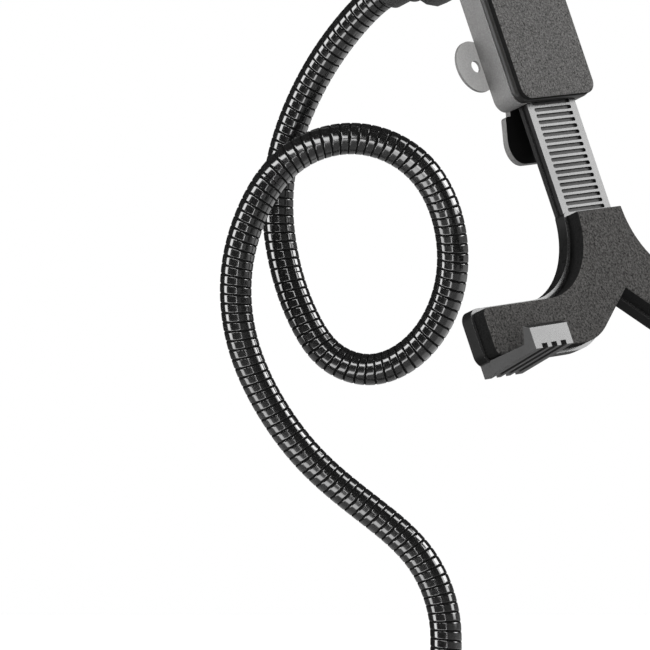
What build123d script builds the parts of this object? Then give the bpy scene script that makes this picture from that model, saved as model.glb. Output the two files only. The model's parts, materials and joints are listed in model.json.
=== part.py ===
"""A phone and tablet holder on a gooseneck: desk clamp, ribbed neck, ball joint and claw cradle."""

import os
from math import asin, cos, degrees, radians, sin, tan

from build123d import *

# Frame: millimetres, +Z up, +X to the right and +Y away from the user.
# The origin is the middle of the clamp's seat, where the holder rests on a desk.

# Desk clamp
clamp_width = 36
clamp_arm = 9
clamp_spine = 8
clamp_reach = 25
clamp_nose = 22
clamp_opening = 56
clamp_corner = 5
clamp_boss_radius = 11
clamp_boss_drop = 7
seat_length = 36
seat_width = 28
seat_pad_thickness = 3
desk_gap = 30
screw_radius = 6
screw_clearance = 0.08
screw_tip_radius = 4
screw_tip_length = 3
screw_rise = 20
disc_radius = 15
disc_thickness = 6
disc_pad_thickness = 3
disc_pad_inset = 1
knob_radius = 17
knob_height = 15
knob_flats = 12
knob_seat_depth = 11

# Fits
fixed_clearance = 0.05
turning_clearance = 0.3
sliding_clearance = 0.3
knob_clearance = 2

# Neck
neck_ridge_radius = 6.0
neck_groove_radius = 5.3
neck_rib_pitch = 7.5
neck_flats = 10
neck_notch = 2.6
knuckle_radius = 4.0
foot_flange_radius = 13
foot_flange_height = 3
foot_sleeve_radius = 9
foot_height = 20
foot_floor = 4
foot_straight = 8

# Ball joint
ball_radius = 8.5
stem_radius = 3.5
stem_length = 17.5
stem_grip = 4
collar_sleeve_radius = 7.2
collar_sleeve_length = 9.5
collar_flange_radius = 8.6
collar_flange_length = 3
liner_wall = 1.4
liner_half_width = 2.5
ball_flats = 24
ball_first_band = 15
ball_bands = 7
nut_radius = 14
nut_back = 11.5
nut_front = 1
nut_seat_back = 7
nut_lip_radius = 7.7
nut_lip_back = 8.6
nut_recess_radius = 10.9
nut_flats = 16
nut_thread_radius = 11.6
nut_thread_depth = 2.8
thread_clearance = 0.1
boss_radius = 13

# Cradle body
body_half_width = 20.2
body_bottom = 64
body_top = 33
body_corner = 4.5
body_back = 16
rear_cover_depth = 8.6
front_cover_depth = 3.2
cover_gap_height = 0.5
cover_gap_depth = 0.7
body_pad_depth = 2.2
body_pad_inset = 0.3
back_wall = 2.4
top_wall = 3
ear_radius = 9.5
ear_out = 3.1
ear_drop = 46
ear_lap = 3.2
ear_thickness = 1
ear_hole_radius = 2.2

# Sliding rack and claws, measured down the cradle from the ball's axis
rack_half_width = 13.3
rack_thickness = 4.2
rack_face = 8.2
rack_head = 10
rack_groove_depth = 0.8
rack_groove_width = 2
rack_groove_back = 1.4
slot_length = 20.2
slot_height = 1.4
slot_depth = 0.9
slot_pitch = 2.35
slot_count = 39
slot_first = 14.9
claw_stem_half_width = 12.1
claw_top = 106.4
claw_arm_top = 135.8
claw_arm_bottom = 153.2
claw_half_span = 78
claw_shoulder_radius = 33.3
pad_shoulder_radius = 29.4
claw_tip_radius = 3
claw_notch_top = 136.2
claw_notch_angle = 36
claw_crotch_radius = 24
claw_back = 4
claw_depth = 4.5
claw_rim = 1.3
claw_pad_seat = 1.5
claw_pad_front = 14
hook_inner = 57.3
hook_width = 19.9
hook_front = 30
hook_floor = 153.4
hook_bottom = 156.4
hook_root = 158.6
hook_lip_top = 147.3
hook_lip_face_top = 148.8
hook_lip_thickness = 4.5
hook_lip_bevel = 2.5
hook_groove_count = 3
hook_groove_width = 2.8
hook_groove_depth = 1.6
upper_claw_gap = 3
upper_stub = 5

# Release lever
pin_radius = 1.0
pin_up = 10
pin_back = 2.2
pin_grip = 4
lever_half_width = 13.6
lever_thickness = 2.3
lever_barrel_radius = 1.5
lever_arm = 8
lever_flare = 18
lever_tab = 28
lever_tab_half_width = 16.4
lever_tab_round = 9
lever_tab_corner = 1
lever_side_gap = 0.4
window_margin = 1.5

# Where the ball sits, and which way the cradle faces
ball_centre = Vector(-0.3, -29.5, 285.6)
cradle_yaw = 45.9
cradle_tilt = 19.2
cradle_roll = 6.0

# Where the neck bends: distance along its line, and whether it bends across the picture plane
neck_bends = ((42, True), (110, False), (180, True), (262, False), (345, False), (505, True))

os.makedirs("parts", exist_ok=True)


def save(part, name):
    part.label = name
    export_step(part, f"parts/{name}.step")


# The cradle's own planes: its face, with x to the right and y up, and its side, with x up and y to the front
front = Vector(
    sin(radians(cradle_yaw)) * cos(radians(cradle_tilt)),
    -cos(radians(cradle_yaw)) * cos(radians(cradle_tilt)),
    sin(radians(cradle_tilt)),
)
level = Vector(cos(radians(cradle_yaw)), sin(radians(cradle_yaw)), 0)
right = level.rotate(Axis((0, 0, 0), front), cradle_roll)
cradle = Plane(origin=ball_centre, x_dir=right, z_dir=front)
cradle_side = Plane(origin=ball_centre, x_dir=cradle.y_dir, z_dir=right)

# Desk clamp: a C-shaped frame with a screw boss under its lower arm
arm_floor = -clamp_opening
with BuildPart() as clamp_frame:
    with BuildSketch(Plane.XZ):
        with BuildLine():
            Polyline(
                (-clamp_nose, seat_pad_thickness),
                (clamp_reach, seat_pad_thickness),
                (clamp_reach, arm_floor),
                (-clamp_boss_radius, arm_floor),
                (-clamp_boss_radius, arm_floor - clamp_arm),
                (clamp_reach + clamp_spine, arm_floor - clamp_arm),
                (clamp_reach + clamp_spine, seat_pad_thickness + clamp_arm),
                (-clamp_nose, seat_pad_thickness + clamp_arm),
                close=True,
            )
        make_face()
    extrude(amount=clamp_width / 2, both=True)
    fillet(clamp_frame.edges().filter_by(Axis.Y).group_by(Axis.X)[-1], clamp_corner)
    fillet(clamp_frame.edges().filter_by(Axis.Z).group_by(Axis.X)[0], clamp_corner)
    with BuildSketch(Plane.XY.offset(arm_floor - clamp_arm)):
        Circle(clamp_boss_radius)
    extrude(amount=-clamp_boss_drop)
    with BuildSketch(Plane.XY.offset(arm_floor)):
        Circle(screw_radius + screw_clearance)
    extrude(amount=-clamp_arm - clamp_boss_drop, mode=Mode.SUBTRACT)
save(clamp_frame.part, "clamp_frame")

with BuildPart() as seat_pad:
    with BuildSketch():
        RectangleRounded(seat_length, seat_width, clamp_corner / 2)
    extrude(amount=seat_pad_thickness)
save(seat_pad.part, "seat_pad")

disc_top = -desk_gap - disc_pad_thickness
disc_bottom = disc_top - disc_thickness
with BuildPart() as disc_pad:
    with BuildSketch(Plane.XY.offset(disc_top)):
        Circle(disc_radius - disc_pad_inset)
    extrude(amount=disc_pad_thickness)
save(disc_pad.part, "disc_pad")

with BuildPart() as pressure_disc:
    with BuildSketch(Plane.XY.offset(disc_bottom)):
        Circle(disc_radius)
    extrude(amount=disc_thickness)
    with BuildSketch(Plane.XY.offset(disc_bottom)):
        Circle(screw_tip_radius + screw_clearance)
    extrude(amount=screw_tip_length, mode=Mode.SUBTRACT)
save(pressure_disc.part, "pressure_disc")

boss_bottom = arm_floor - clamp_arm - clamp_boss_drop
knob_top = boss_bottom - screw_rise - knob_clearance
with BuildPart() as clamp_screw:
    with BuildSketch(Plane.XY.offset(disc_bottom)):
        Circle(screw_radius)
    extrude(amount=knob_top - knob_seat_depth - disc_bottom)
    with BuildSketch(Plane.XY.offset(disc_bottom)):
        Circle(screw_tip_radius)
    extrude(amount=screw_tip_length)
save(clamp_screw.part, "clamp_screw")

with BuildPart() as clamp_knob:
    with BuildSketch(Plane.XY.offset(knob_top - knob_height)):
        RegularPolygon(knob_radius, knob_flats)
    extrude(amount=knob_height)
    with BuildSketch(Plane.XY.offset(knob_top)):
        Circle(screw_radius + fixed_clearance)
    extrude(amount=-knob_seat_depth, mode=Mode.SUBTRACT)
save(clamp_knob.part, "clamp_knob")

# Foot that holds the neck on the clamp's upper arm
foot_base = seat_pad_thickness + clamp_arm
with BuildPart() as neck_foot:
    with BuildSketch(Plane.XY.offset(foot_base)):
        Circle(foot_flange_radius)
    extrude(amount=foot_flange_height)
    with BuildSketch(Plane.XY.offset(foot_base + foot_flange_height)):
        Circle(foot_sleeve_radius)
    extrude(amount=foot_height - foot_flange_height)
    with BuildSketch(Plane.XY.offset(foot_base + foot_floor)):
        RegularPolygon(neck_groove_radius + fixed_clearance, neck_flats)
    extrude(amount=foot_height - foot_floor, mode=Mode.SUBTRACT)
save(neck_foot.part, "neck_foot")

# Line of the neck: straight out of the foot, one loop, then straight into the collar behind the ball
collar_front = -stem_length
collar_back = collar_front - collar_flange_length - collar_sleeve_length
neck_end = ball_centre + front * (collar_front - stem_grip)
neck_start = Vector(0, 0, foot_base + foot_floor)
with BuildLine() as neck_line:
    foot_run = Line(neck_start, neck_start + Vector(0, 0, foot_height - foot_floor + foot_straight))
    sway = Spline(
        foot_run @ 1,
        (-9, 0, 69),
        (-28, 0, 87),
        (-48, -1, 104),
        (-64, -2, 125),
        (-74, -3, 148),
        (-76, -4, 175),
        (-70, -5, 196),
        (-57, -5, 214),
        (-33, -4, 222),
        (-10, -2, 212),
        (1.5, 1, 189),
        (0, 5, 163),
        (-15.5, 8.5, 142),
        (-28, 10.3, 138),
        (-42, 11.7, 143),
        (-51, 12.5, 155),
        (-59.5, 13.5, 180),
        (-61, 13, 206),
        (-54.5, 10.5, 231),
        (-46, 6.5, 248),
        (-36, 0.5, 262),
        ball_centre + front * collar_back,
        tangents=((0, 0, 1), front),
        tangent_scalars=(1, 1),
    )
    Line(sway @ 1, neck_end)
neck_wire = neck_line.wire()
neck_length = neck_wire.length


def across(distance):
    """The plane square to the neck at a distance along its line, with its y axis in the neck's depth."""
    at = neck_wire.position_at(distance, position_mode=PositionMode.LENGTH)
    along = neck_wire.tangent_at(distance, position_mode=PositionMode.LENGTH)
    return Plane(origin=at, x_dir=Vector(0, 1, 0).cross(along), z_dir=along)


def bend_plane(distance, bends_across):
    """The plane whose normal is the hinge line of a bend in the neck."""
    ring = across(distance)
    hinge = ring.x_dir if bends_across else ring.y_dir
    return Plane(origin=ring.origin, x_dir=ring.z_dir, z_dir=hinge)


def rib_rings(low, high):
    """Distances and radii of the grooves and ridges between two ends of a ribbed stretch."""
    count = max(1, round((high - low) / neck_rib_pitch))
    step = (high - low) / count
    rings = [(low, neck_groove_radius)]
    for rib in range(count):
        rings.append((low + (rib + 0.5) * step, neck_ridge_radius))
        rings.append((low + (rib + 1) * step, neck_groove_radius))
    return rings


def section(plane, radius, flats):
    """The corners of a many-sided section on a plane."""
    turns = [radians(360 * corner / flats) for corner in range(flats)]
    return [plane.from_local_coords((radius * cos(turn), radius * sin(turn), 0)) for turn in turns]


def faceted(sections):
    """A solid through a row of many-sided sections, with flat triangles from each one to the next."""
    faces = [Face(Wire.make_polygon(sections[0])), Face(Wire.make_polygon(sections[-1]))]
    for low, high in zip(sections, sections[1:]):
        for corner in range(len(low)):
            faces.append(Face(Wire.make_polygon((low[corner - 1], low[corner], high[corner]))))
            faces.append(Face(Wire.make_polygon((low[corner - 1], high[corner], high[corner - 1]))))
    return Solid(Shell(faces))


# Neck in stretches that bend on each other: each ends in a round knuckle that sits in the next one's hollow
foot_grip = foot_height - foot_floor
collar_grip = collar_sleeve_length + collar_flange_length - stem_grip
bend_planes = [bend_plane(*bend) for bend in neck_bends]
for number in range(len(neck_bends) + 1):
    starts_at_foot = number == 0
    ends_at_collar = number == len(neck_bends)
    low = foot_grip if starts_at_foot else neck_bends[number - 1][0] + neck_notch / 2
    high = neck_length - collar_grip if ends_at_collar else neck_bends[number][0] - neck_notch / 2
    rings = rib_rings(low, high)
    if starts_at_foot:
        rings.insert(0, (0, neck_groove_radius))
    if ends_at_collar:
        rings.append((neck_length, neck_groove_radius))
    with BuildPart() as stretch:
        add(faceted([section(across(distance), radius, neck_flats) for distance, radius in rings]))
        if not ends_at_collar:
            with BuildSketch(bend_planes[number]):
                Circle(knuckle_radius)
            extrude(amount=knuckle_radius, both=True)
        if not starts_at_foot:
            with BuildSketch(bend_planes[number - 1]):
                Circle(knuckle_radius + turning_clearance)
            extrude(amount=neck_ridge_radius * 2, both=True, mode=Mode.SUBTRACT)
    save(stretch.part, f"neck_{number + 1}")

# Collar and ball stud at the top of the neck
with BuildPart() as neck_collar:
    with BuildSketch(cradle.offset(collar_back)):
        Circle(collar_sleeve_radius)
    extrude(amount=collar_sleeve_length)
    with BuildSketch(cradle.offset(collar_front - collar_flange_length)):
        Circle(collar_flange_radius)
    extrude(amount=collar_flange_length)
    with BuildSketch(across(neck_length - collar_grip)):
        RegularPolygon(neck_groove_radius + fixed_clearance, neck_flats)
    extrude(amount=collar_grip, mode=Mode.SUBTRACT)
    with BuildSketch(cradle.offset(collar_front - stem_grip)):
        Circle(stem_radius + fixed_clearance)
    extrude(amount=stem_grip, mode=Mode.SUBTRACT)
save(neck_collar.part, "neck_collar")

ball_step = (180 - 2 * ball_first_band) / ball_bands
ball_turns = [radians(ball_first_band + band * ball_step) for band in range(ball_bands + 1)]
ball_sections = [
    section(cradle.offset(-ball_radius * cos(turn)), ball_radius * sin(turn), ball_flats)
    for turn in ball_turns
]
with BuildPart() as ball_stud:
    add(faceted(ball_sections))
    with BuildSketch(cradle.offset(collar_front - stem_grip)):
        Circle(stem_radius)
    extrude(amount=stem_length + stem_grip)
save(ball_stud.part, "ball_stud")

# Friction ring round the ball
liner_inner = ball_radius + turning_clearance
liner_outer = liner_inner + liner_wall
socket_radius = (liner_outer**2 + liner_half_width**2) ** 0.5 + turning_clearance
with BuildPart() as ball_liner:
    with BuildSketch(cradle.offset(-liner_half_width)):
        RegularPolygon(liner_outer, ball_flats)
        RegularPolygon(liner_inner, ball_flats, major_radius=False, mode=Mode.SUBTRACT)
    extrude(amount=2 * liner_half_width)
save(ball_liner.part, "ball_liner")

# Lock nut: a lip draws the ball into the socket from behind
thread_back = nut_front + nut_thread_depth
with BuildPart() as lock_nut:
    with BuildSketch(cradle.offset(-nut_back)):
        RegularPolygon(nut_radius, nut_flats)
    extrude(amount=nut_back - nut_front)
    with BuildSketch(cradle.offset(-nut_seat_back)):
        Circle(nut_thread_radius)
    extrude(amount=nut_seat_back - nut_front, mode=Mode.SUBTRACT)
    with BuildSketch(cradle.offset(-nut_lip_back)):
        Circle(nut_lip_radius)
    extrude(amount=nut_lip_back - nut_seat_back, mode=Mode.SUBTRACT)
    with BuildSketch(cradle.offset(-nut_back)):
        Circle(nut_recess_radius)
    extrude(amount=nut_back - nut_lip_back, mode=Mode.SUBTRACT)
save(lock_nut.part, "lock_nut")

# Levels through the cradle, measured forward from the ball
cover_split = body_back + rear_cover_depth
pad_back = cover_split + front_cover_depth
rack_front = body_back + rack_face
rack_rear = rack_front - rack_thickness
channel_half_width = rack_half_width + sliding_clearance
channel_top = body_top - top_wall
body_height = body_bottom + body_top
body_middle = (body_top - body_bottom) / 2
pin_level = body_back + pin_back
pin_height = pin_up - body_bottom

# Rear cover: moulded with the socket boss, the rack's channel, the lever's window and a pierced ear
window_top = pin_height + lever_arm + window_margin
with BuildPart() as rear_cover:
    with BuildSketch(cradle.offset(body_back)):
        with Locations((0, body_middle)):
            RectangleRounded(2 * body_half_width, body_height, body_corner)
    extrude(amount=rear_cover_depth)
    with BuildSketch(cradle.offset(body_back - ear_thickness)):
        with Locations((-body_half_width - ear_out, -ear_drop)):
            Circle(ear_radius)
        with Locations((ear_lap - body_half_width + ear_radius, -ear_drop)):
            Rectangle(2 * ear_radius, 2 * ear_radius, mode=Mode.SUBTRACT)
    extrude(amount=ear_thickness)
    with BuildSketch(cradle.offset(turning_clearance - nut_front)):
        Circle(boss_radius)
    extrude(amount=body_back + nut_front - turning_clearance)
    with BuildSketch(cradle.offset(turning_clearance - thread_back)):
        Circle(nut_thread_radius - thread_clearance)
    extrude(amount=nut_thread_depth)
    with BuildSketch(cradle.offset(turning_clearance - thread_back)):
        Circle(socket_radius)
    extrude(amount=thread_back + ball_radius, mode=Mode.SUBTRACT)
    with BuildSketch(cradle.offset(body_back + back_wall)):
        with Locations((0, (channel_top - body_bottom) / 2)):
            Rectangle(2 * channel_half_width, channel_top + body_bottom)
    extrude(amount=rear_cover_depth, mode=Mode.SUBTRACT)
    with BuildSketch(cradle.offset(rack_rear - fixed_clearance)):
        with Locations((0, body_top)):
            Rectangle(2 * (rack_half_width + fixed_clearance), 4 * top_wall)
    extrude(amount=rear_cover_depth, mode=Mode.SUBTRACT)
    with BuildSketch(cradle.offset(body_back)):
        with Locations((0, (window_top - body_bottom) / 2)):
            Rectangle(2 * (lever_half_width + lever_side_gap), window_top + body_bottom)
    extrude(amount=back_wall, mode=Mode.SUBTRACT)
    with BuildSketch(cradle_side):
        with Locations((pin_height, pin_level)):
            Circle(pin_radius + fixed_clearance)
    extrude(amount=channel_half_width + pin_grip, both=True, mode=Mode.SUBTRACT)
    with BuildSketch(cradle.offset(body_back)):
        with Locations((-body_half_width - ear_out, -ear_drop)):
            Circle(ear_hole_radius)
    extrude(amount=-ear_thickness, mode=Mode.SUBTRACT)
save(rear_cover.part, "rear_cover")

lip_half_width = body_half_width - cover_gap_depth
lip_height = body_height - 2 * cover_gap_depth
with BuildPart() as front_cover:
    with BuildSketch(cradle.offset(cover_split)):
        with Locations((0, body_middle)):
            RectangleRounded(2 * lip_half_width, lip_height, body_corner - cover_gap_depth)
    extrude(amount=cover_gap_height)
    with BuildSketch(cradle.offset(cover_split + cover_gap_height)):
        with Locations((0, body_middle)):
            RectangleRounded(2 * body_half_width, body_height, body_corner)
    extrude(amount=front_cover_depth - cover_gap_height)
save(front_cover.part, "front_cover")

pad_half_width = body_half_width - body_pad_inset
pad_height = body_height - 2 * body_pad_inset
with BuildPart() as body_pad:
    with BuildSketch(cradle.offset(pad_back)):
        with Locations((0, body_middle)):
            RectangleRounded(2 * pad_half_width, pad_height, body_corner)
    extrude(amount=body_pad_depth)
save(body_pad.part, "body_pad")


def claw_outline(base, level, shoulder, grow):
    """The face of a two-armed claw on a cradle plane, with the arms below the stem."""
    notch_run = (claw_arm_bottom - claw_notch_top) / tan(radians(claw_notch_angle))
    shoulder_start = degrees(asin((shoulder - claw_arm_top + claw_top) / shoulder))
    shoulder_centre = (claw_stem_half_width + shoulder, shoulder - claw_arm_top)
    with BuildSketch(base.offset(level)) as outline:
        with BuildLine():
            bend = CenterArc(shoulder_centre, shoulder, 180 + shoulder_start, 90 - shoulder_start)
            Line((0, -claw_top), bend @ 0)
            FilletPolyline(
                bend @ 1,
                (claw_half_span, -claw_arm_top),
                (claw_half_span, -claw_arm_bottom),
                (notch_run, -claw_arm_bottom),
                (0, -claw_notch_top),
                radius=[claw_tip_radius, claw_tip_radius, claw_crotch_radius],
            )
            mirror(about=Plane.YZ)
        make_face()
        if grow:
            offset(amount=grow)
    return outline.sketch


def claw_frame(base):
    """A claw's moulded frame: rimmed arms with a grooved hook under each tip."""
    side = Plane(origin=base.origin, x_dir=base.y_dir, z_dir=base.x_dir)
    back = body_back + claw_back
    rim_front = back + claw_depth
    seat = rim_front - claw_pad_seat
    tip = body_back + hook_front
    groove_step = hook_width / (hook_groove_count + 1)
    with BuildPart() as frame:
        add(claw_outline(base, back, claw_shoulder_radius, claw_rim))
        extrude(amount=claw_depth, dir=base.z_dir)
        add(claw_outline(base, seat, claw_shoulder_radius, fixed_clearance))
        extrude(amount=claw_pad_seat, dir=base.z_dir, mode=Mode.SUBTRACT)
        with BuildSketch(side.offset(hook_inner)):
            with BuildLine():
                Polyline(
                    (-hook_root, back),
                    (-hook_bottom, tip),
                    (-hook_lip_face_top, tip),
                    (-hook_lip_top, tip - hook_lip_bevel),
                    (-hook_floor, tip - hook_lip_thickness),
                    (-hook_floor, back),
                    close=True,
                )
            make_face()
        hook = extrude(amount=hook_width)
        with BuildSketch(base.offset(back)):
            with Locations((hook_inner + hook_width / 2, hook_groove_depth - hook_bottom)):
                with GridLocations(groove_step, hook_groove_depth, hook_groove_count, 1):
                    Rectangle(hook_groove_width, hook_width, align=(Align.CENTER, Align.MAX))
        grooves = extrude(amount=tip - back, mode=Mode.SUBTRACT)
        mirror(hook, about=side)
        mirror(grooves, about=side, mode=Mode.SUBTRACT)
    return frame.part


def claw_cushion(base):
    """The foam pad that sits inside a claw's rim."""
    seat = body_back + claw_back + claw_depth - claw_pad_seat
    with BuildPart() as cushion:
        add(claw_outline(base, seat, pad_shoulder_radius, 0))
        extrude(amount=body_back + claw_pad_front - seat, dir=base.z_dir)
    return cushion.part


# Lower jaw: one moulding of slotted rack and claw
rack_end = claw_top - claw_rim / 2
with BuildPart() as lower_jaw:
    with BuildSketch(cradle.offset(rack_rear)):
        with Locations((0, -(rack_head + rack_end) / 2)):
            Rectangle(2 * rack_half_width, rack_end - rack_head)
    extrude(amount=rack_thickness)
    with BuildSketch(cradle.offset(rack_front)):
        with Locations((0, -slot_first - slot_pitch * (slot_count - 1) / 2)):
            with GridLocations(slot_length, slot_pitch, 1, slot_count):
                Rectangle(slot_length, slot_height)
    extrude(amount=-slot_depth, mode=Mode.SUBTRACT)
    with BuildSketch(cradle.offset(rack_rear + rack_groove_back)):
        with Locations((0, -(rack_head + rack_end) / 2)):
            with GridLocations(2 * rack_half_width, 1, 2, 1):
                Rectangle(2 * rack_groove_depth, rack_end - rack_head)
    extrude(amount=rack_groove_width, mode=Mode.SUBTRACT)
    add(claw_frame(cradle))
save(lower_jaw.part, "lower_jaw")
save(claw_cushion(cradle), "lower_jaw_pad")

# Upper jaw: the same claw turned over, fixed in the top of the body
upper_origin = ball_centre + cradle.y_dir * (body_top + upper_claw_gap - claw_top)
upper_cradle = Plane(origin=upper_origin, x_dir=-right, z_dir=front)
stub_end = upper_claw_gap - claw_rim / 2
with BuildPart() as upper_jaw:
    with BuildSketch(cradle.offset(rack_rear)):
        with Locations((0, body_top + (stub_end - upper_stub) / 2)):
            Rectangle(2 * rack_half_width, stub_end + upper_stub)
    extrude(amount=rack_thickness)
    add(claw_frame(upper_cradle))
save(upper_jaw.part, "upper_jaw")
save(claw_cushion(upper_cradle), "upper_jaw_pad")

# Release lever on its pin
tab_top = -body_bottom - window_margin
tab_end = pin_height - lever_tab
flare_back = (lever_tab - lever_barrel_radius) * tan(radians(lever_flare))
with BuildPart() as release_lever:
    with BuildSketch(cradle_side):
        with BuildLine():
            Polyline(
                (pin_height + lever_arm, pin_level - lever_thickness / 2),
                (pin_height, pin_level - lever_thickness / 2),
                (pin_height - lever_tab, pin_level - lever_thickness / 2 - flare_back),
                (pin_height - lever_tab, pin_level + lever_thickness / 2 - flare_back),
                (pin_height, pin_level + lever_thickness / 2),
                (pin_height + lever_arm, pin_level + lever_thickness / 2),
                close=True,
            )
        make_face()
        with Locations((pin_height, pin_level)):
            Circle(lever_barrel_radius)
    extrude(amount=lever_tab_half_width, both=True)
    with BuildSketch(cradle.offset(body_back - 2 * flare_back)):
        with BuildLine():
            FilletPolyline(
                (0, tab_top),
                (lever_tab_half_width, tab_top),
                (lever_tab_half_width, tab_end),
                (0, tab_end),
                radius=[lever_tab_corner, lever_tab_round],
            )
            mirror(about=Plane.YZ)
        make_face()
        with Locations((0, (pin_height + lever_arm + tab_top - lever_tab_corner) / 2)):
            Rectangle(2 * lever_half_width, pin_height + lever_arm - tab_top + lever_tab_corner)
    extrude(amount=4 * flare_back, mode=Mode.INTERSECT)
    with BuildSketch(cradle_side):
        with Locations((pin_height, pin_level)):
            Circle(pin_radius + fixed_clearance)
    extrude(amount=lever_tab_half_width, both=True, mode=Mode.SUBTRACT)
save(release_lever.part, "release_lever")

with BuildPart() as lever_pin:
    with BuildSketch(cradle_side):
        with Locations((pin_height, pin_level)):
            Circle(pin_radius)
    extrude(amount=channel_half_width + pin_grip, both=True)
save(lever_pin.part, "lever_pin")

print(f"neck {neck_length:.1f} mm along its line")
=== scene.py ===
# %% [markdown]
# # A phone holder on a gooseneck
# This lesson dresses a desk holder: a clamp, a long black gooseneck with one loop, a ball joint and a
# grey cradle with foam pads. The solids come from a CAD model and carry the sizes and the joints. Blender
# gives them what a solid model lacks: the spiral of the neck, soft edges, foam and finishes.

import json
import math

import bmesh
import bpy
import numpy as np
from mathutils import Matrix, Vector
from mathutils.geometry import interpolate_bezier


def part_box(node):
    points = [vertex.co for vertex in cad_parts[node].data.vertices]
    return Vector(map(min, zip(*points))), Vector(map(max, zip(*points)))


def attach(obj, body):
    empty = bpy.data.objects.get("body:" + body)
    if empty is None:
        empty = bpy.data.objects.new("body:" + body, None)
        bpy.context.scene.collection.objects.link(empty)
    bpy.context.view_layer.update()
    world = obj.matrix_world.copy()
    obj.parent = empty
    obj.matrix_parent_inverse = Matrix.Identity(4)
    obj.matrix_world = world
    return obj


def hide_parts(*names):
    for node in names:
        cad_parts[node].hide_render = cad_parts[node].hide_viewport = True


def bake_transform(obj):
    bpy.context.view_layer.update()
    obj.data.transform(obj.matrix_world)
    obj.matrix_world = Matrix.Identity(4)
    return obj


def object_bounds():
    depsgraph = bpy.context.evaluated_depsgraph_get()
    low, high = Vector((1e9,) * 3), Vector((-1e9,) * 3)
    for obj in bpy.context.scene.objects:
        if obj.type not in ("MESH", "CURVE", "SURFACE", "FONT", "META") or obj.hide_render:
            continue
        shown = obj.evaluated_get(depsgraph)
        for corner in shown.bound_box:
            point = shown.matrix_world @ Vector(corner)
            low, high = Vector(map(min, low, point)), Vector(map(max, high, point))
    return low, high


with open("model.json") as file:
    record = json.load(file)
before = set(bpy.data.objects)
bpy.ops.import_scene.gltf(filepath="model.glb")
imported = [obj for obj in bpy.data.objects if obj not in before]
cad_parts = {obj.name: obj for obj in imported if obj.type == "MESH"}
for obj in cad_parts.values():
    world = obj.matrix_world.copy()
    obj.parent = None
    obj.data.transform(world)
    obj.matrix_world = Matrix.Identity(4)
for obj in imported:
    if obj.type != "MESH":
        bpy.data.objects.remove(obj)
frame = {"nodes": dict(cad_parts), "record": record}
cad_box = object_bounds()
nodes = frame["nodes"]
scene = bpy.context.scene
scene.view_settings.view_transform = "Standard"
print(len(nodes), "solids, box", [[round(v, 3) for v in corner] for corner in cad_box])

# %% [markdown]
# The camera comes first, because every later choice is judged through it. The photograph is nearly flat, so
# a long lens far away fits it. The neck lies about in the plane y = 0, where a pixel of the 650 pixel frame
# is 0.364 mm wide, and the width of the frame there sets the focal length.

# %% Camera
MM = 0.001
frame_width = 650 * 0.364 * MM
frame_middle_x = -44.04 * MM
frame_middle_z = 154.3 * MM
camera_distance = 2.0
camera_data = bpy.data.cameras.new("camera")
camera_data.sensor_width = 36
camera_data.lens = camera_data.sensor_width * camera_distance / frame_width
camera_data.clip_end = 20
camera = bpy.data.objects.new("camera", camera_data)
camera.location = (frame_middle_x, -camera_distance, frame_middle_z)
camera.rotation_euler = (math.radians(90), 0, 0)
scene.collection.objects.link(camera)
scene.camera = camera
print("lens", round(camera_data.lens, 1), "mm")

# %% [markdown]
# The cradle is turned and tilted away from the axes of the room. Three directions describe it: to its right,
# up its face and out of its face. They are the same three that place the solids. Edges are picked and
# faces are painted by them.

# %% The cradle's directions
to_right = Vector((0.667414, 0.738115, 0.098714))
to_top = Vector((-0.307617, 0.152544, 0.939203))
to_front = Vector((0.678182, -0.657204, 0.328867))
ball_centre = Vector((-0.3, -29.5, 285.6)) * MM


def on_cradle(point):
    """A point's place on the cradle, in millimetres from the ball's centre: to the right, up and forward."""
    arm = (point - ball_centre) / MM
    return arm.dot(to_right), arm.dot(to_top), arm.dot(to_front)


foam_low, foam_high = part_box("body_pad")
foam_middle = (Vector(foam_low) + Vector(foam_high)) / 2
print("middle of the body's foam", [round(v, 1) for v in on_cradle(foam_middle)], "mm from the ball")

# %% [markdown]
# A product photograph on white is lit by large soft lamps, which here give an even light. One more lamp
# stands where the front of the cradle mirrors it to the camera, which makes the smooth rack pale there.

# %% Lamps
lit_point = Vector((-20, -20, 170)) * MM


def soft_lamp(name, direction, distance, width, height, watts, mirrored=False):
    """A rectangular lamp that faces the middle of the holder from a direction."""
    data = bpy.data.lights.new(name, "AREA")
    data.shape = "RECTANGLE"
    data.size = width
    data.size_y = height
    data.energy = watts
    lamp = bpy.data.objects.new(name, data)
    lamp.visible_glossy = mirrored
    lamp.location = lit_point + Vector(direction).normalized() * distance
    lamp.rotation_euler = (lit_point - lamp.location).to_track_quat("-Z", "Y").to_euler()
    scene.collection.objects.link(lamp)


soft_lamp("left_window", (-0.87, -0.49, 0.0), distance=1.1, width=0.52, height=1.3, watts=12)
soft_lamp(
    "right_window", (0.891, 0.136, 0.432), distance=1.1, width=0.5, height=0.5, watts=6.5, mirrored=True
)
soft_lamp("overhead", (-0.15, -0.35, 1.0), distance=1.2, width=0.9, height=0.5, watts=10)
soft_lamp("front_fill", (0.25, -1.0, 0.2), distance=1.8, width=1.2, height=1.2, watts=13)
print(len(bpy.data.lights), "lamps")

# %% [markdown]
# The room, the finishes and the neck are all trees of nodes. By hand a node takes three steps: add it, choose
# its mode, fill its inputs. One helper does the three here. An input that is given a socket is linked to it,
# and any other input takes the value as it is.

# %% Nodes in code


def fill(tree, node, inputs):
    """Gives each input of a node, by name or place, its value or a link to a socket."""
    for label, value in inputs.items():
        if isinstance(value, bpy.types.NodeSocket):
            tree.links.new(value, node.inputs[label])
        else:
            node.inputs[label].default_value = value


def add_node(tree, kind, inputs=None, **settings):
    """The outputs of a new node that has its settings and its inputs."""
    node = tree.nodes.new(kind)
    for label, value in settings.items():
        setattr(node, label, value)
    fill(tree, node, inputs or {})
    return node.outputs


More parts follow.
